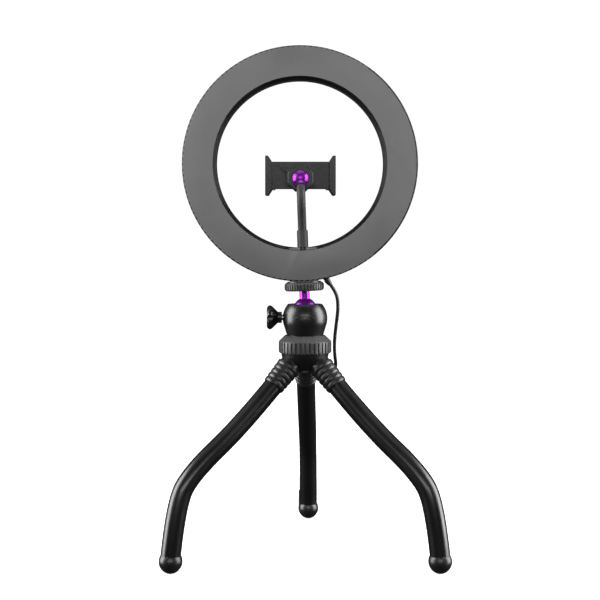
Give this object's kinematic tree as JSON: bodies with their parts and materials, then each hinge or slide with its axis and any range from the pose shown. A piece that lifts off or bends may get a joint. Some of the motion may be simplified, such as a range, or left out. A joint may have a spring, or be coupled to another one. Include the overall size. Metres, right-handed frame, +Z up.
{
  "type": "ring light",
  "caption": "Ring-shaped light with an opal front, a phone clamp on a bendable arm inside it, a ball head and three bendable legs.",
  "frame": {"origin": "on the surface the feet stand on, under the middle of the box round the object without its lead", "axes": "+Z up, +Y the way the light shines, +X to the left of somebody in front of the light"},
  "size_m": [0.2344, 0.3911, 0.4312],
  "materials": {
    "shell": "satin dark grey moulded plastic",
    "diffuser": "opal white translucent plastic",
    "circuit_board": "white solder mask",
    "warm_led": "amber phosphor",
    "cool_led": "pale yellow phosphor",
    "steel": "plain steel",
    "brass": "turned",
    "head_plastic": "fine satin black moulding",
    "purple_metal": "purple anodised",
    "seat_plastic": "natural acetal",
    "soft_rubber": "matt black",
    "leg_sleeve": "matt black, slightly bright where it is bent",
    "foot_rubber": "matt black",
    "arm_metal": "black, ribbed",
    "clamp_plastic": "satin black",
    "lead_jacket": "smooth black jacket",
    "control_plastic": "satin black",
    "tie": "soft black strap"
  },
  "bodies": {
    "stand": {"hub": "head_plastic", "hub_cover": "head_plastic", "hub_screw": "steel", "back_leg_boot": "soft_rubber", "left_leg_boot": "soft_rubber", "right_leg_boot": "soft_rubber", "back_leg_core": "steel", "left_leg_core": "steel", "right_leg_core": "steel", "lead": "lead_jacket", "lead_to_hank": "lead_jacket", "plug_tail": "lead_jacket", "hank": "lead_jacket", "hank_tie": "tie", "plug_grip": "control_plastic", "plug_shell": "steel", "control_base": "control_plastic", "control_cover": "control_plastic"},
    "collar": {"lock_collar": "head_plastic"},
    "ball_head": {"ball_housing": "head_plastic", "ball_seat": "seat_plastic", "pressure_shoe": "seat_plastic"},
    "head_knob": {"lock_knob": "head_plastic", "lock_screw": "steel"},
    "stem": {"ball_stem": "purple_metal", "mount_stud": "steel"},
    "disc": {"lock_disc": "head_plastic", "lock_disc_pad": "soft_rubber"},
    "ring": {"back_shell": "shell", "diffuser": "diffuser", "led_board": "circuit_board", "warm_leds": "warm_led", "cool_leds": "cool_led", "board_screws": "steel", "mount_insert": "brass", "arm_socket": "head_plastic", "cable_gland": "lead_jacket", "arm_ferrule": "arm_metal", "gooseneck": "arm_metal"},
    "arm_top": {"clamp_ball": "purple_metal"},
    "nut": {"ball_nut": "head_plastic"},
    "clamp": {"clamp_body": "clamp_plastic", "clamp_cover": "head_plastic", "clamp_screws": "arm_metal", "fixed_jaw_pad": "soft_rubber", "clamp_spring": "steel"},
    "jaw": {"sliding_jaw": "clamp_plastic", "sliding_jaw_pad": "soft_rubber"},
    "brighter": {"brighter_button": "control_plastic"},
    "power": {"power_button": "control_plastic"},
    "dimmer": {"dimmer_button": "control_plastic"},
    "back_thigh": {"back_leg_sleeve_upper": "leg_sleeve"},
    "back_shin": {"back_leg_sleeve_lower": "leg_sleeve", "back_foot": "foot_rubber"},
    "left_thigh": {"left_leg_sleeve_upper": "leg_sleeve"},
    "left_shin": {"left_leg_sleeve_lower": "leg_sleeve", "left_foot": "foot_rubber"},
    "right_thigh": {"right_leg_sleeve_upper": "leg_sleeve"},
    "right_shin": {"right_leg_sleeve_lower": "leg_sleeve", "right_foot": "foot_rubber"}
  },
  "joints": [
    {"name": "back_hip_bend", "type": "hinge", "parent": "stand", "child": "back_thigh", "pos_m": [0.00065, -0.00906, 0.153], "axis": [0.9996, -0.0297, 0], "range_deg": [-15, 30], "deforming": ["back_leg_boot", "back_leg_core"]},
    {"name": "back_knee_bend", "type": "hinge", "parent": "back_thigh", "child": "back_shin", "pos_m": [0.00247, 0.05212, 0.09584], "axis": [0.9996, -0.0297, 0], "range_deg": [-25, 30]},
    {"name": "left_hip_bend", "type": "hinge", "parent": "stand", "child": "left_thigh", "pos_m": [-0.01905, -0.04205, 0.153], "axis": [-0.5, 0.866, 0], "range_deg": [-15, 30], "deforming": ["left_leg_boot", "left_leg_core"]},
    {"name": "left_knee_bend", "type": "hinge", "parent": "left_thigh", "child": "left_shin", "pos_m": [-0.07205, -0.07265, 0.09584], "axis": [-0.5, 0.866, 0], "range_deg": [-25, 30]},
    {"name": "right_hip_bend", "type": "hinge", "parent": "stand", "child": "right_thigh", "pos_m": [0.01905, -0.04205, 0.153], "axis": [-0.5, -0.866, 0], "range_deg": [-15, 30], "deforming": ["right_leg_boot", "right_leg_core"]},
    {"name": "right_knee_bend", "type": "hinge", "parent": "right_thigh", "child": "right_shin", "pos_m": [0.07205, -0.07265, 0.09584], "axis": [-0.5, -0.866, 0], "range_deg": [-25, 30]},
    {"name": "collar_turn", "type": "hinge", "parent": "stand", "child": "collar", "pos_m": [0, -0.03105, 0.178], "axis": [0, 0, 1], "range_deg": [0, 180]},
    {"name": "pan", "type": "hinge", "parent": "stand", "child": "ball_head", "pos_m": [0, -0.03105, 0.186], "axis": [0, 0, 1], "range_deg": [-90, 90], "deforming": ["lead", "lead_to_hank", "plug_tail"]},
    {"name": "knob_turn", "type": "hinge", "parent": "ball_head", "child": "head_knob", "pos_m": [-0.026, -0.03105, 0.2004], "axis": [-1, 0, 0], "range_deg": [0, 180]},
    {"name": "tilt", "type": "hinge", "parent": "ball_head", "child": "stem", "pos_m": [0, -0.03105, 0.2073], "axis": [1, 0, 0], "range_deg": [-35, 35]},
    {"name": "disc_turn", "type": "hinge", "parent": "stem", "child": "disc", "pos_m": [-0.00066, -0.03105, 0.22629], "axis": [-0.0349, 0, 0.9994], "range_deg": [0, 180]},
    {"name": "ring_spin", "type": "hinge", "parent": "stem", "child": "ring", "pos_m": [-0.00084, -0.03105, 0.23128], "axis": [-0.0349, 0, 0.9994], "range_deg": [-45, 45]},
    {"name": "arm_bend", "type": "hinge", "parent": "ring", "child": "arm_top", "pos_m": [-0.00248, -0.03405, 0.27826], "axis": [0.9994, 0, 0.0349], "range_deg": [-20, 20], "deforming": ["gooseneck"]},
    {"name": "clamp_tilt", "type": "hinge", "parent": "arm_top", "child": "nut", "pos_m": [-0.0039, -0.02705, 0.31903], "axis": [0.9994, 0, 0.0349], "range_deg": [-10, 45]},
    {"name": "clamp_turn", "type": "hinge", "parent": "nut", "child": "clamp", "pos_m": [-0.0039, -0.02705, 0.31903], "axis": [0, -1, 0], "range_deg": [0, 90]},
    {"name": "jaw_slide", "type": "slide", "parent": "clamp", "child": "jaw", "axis": [1, 0, 0], "range_m": [0, 0.032], "deforming": ["clamp_spring"]},
    {"name": "brighter_press", "type": "slide", "parent": "stand", "child": "brighter", "axis": [0, 0, -1], "range_m": [0, 0.0006], "stiffness_N_per_m": 300, "springref_m": -0.0005},
    {"name": "power_press", "type": "slide", "parent": "stand", "child": "power", "axis": [0, 0, -1], "range_m": [0, 0.0006], "stiffness_N_per_m": 300, "springref_m": -0.0005},
    {"name": "dimmer_press", "type": "slide", "parent": "stand", "child": "dimmer", "axis": [0, 0, -1], "range_m": [0, 0.0006], "stiffness_N_per_m": 300, "springref_m": -0.0005}
  ]
}
